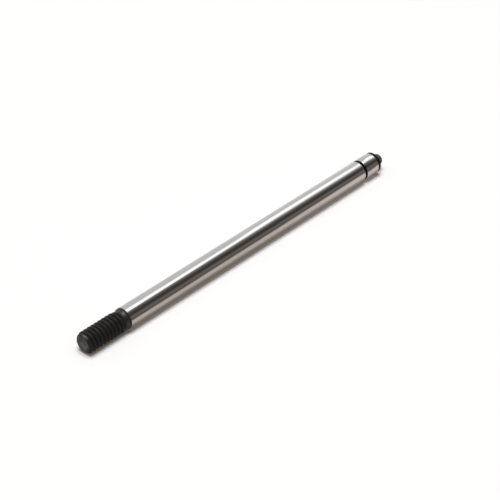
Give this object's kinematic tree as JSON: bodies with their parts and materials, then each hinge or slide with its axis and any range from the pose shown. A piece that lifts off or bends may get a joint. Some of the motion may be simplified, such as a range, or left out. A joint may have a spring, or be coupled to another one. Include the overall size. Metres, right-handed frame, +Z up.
{
  "type": "shock shaft",
  "caption": "Straight ground steel damper rod with a black screw thread and collar at one end, and a clip groove, piston band and small headed stub at the other.",
  "frame": {"origin": "On the shaft's axis, halfway along the bright ground rod.", "axes": "+X along the shaft towards the piston end, with the screw thread at the -X end. +Z is up when the shaft lies on a table."},
  "size_m": [0.0596, 0.0032, 0.0032],
  "materials": {
    "steel": "Centreless-ground bright on the rod and the piston band; black oxide on the thread, collar, clip groove, end land and stub."
  },
  "bodies": {
    "root": {"shock_shaft": "steel"}
  },
  "joints": []
}
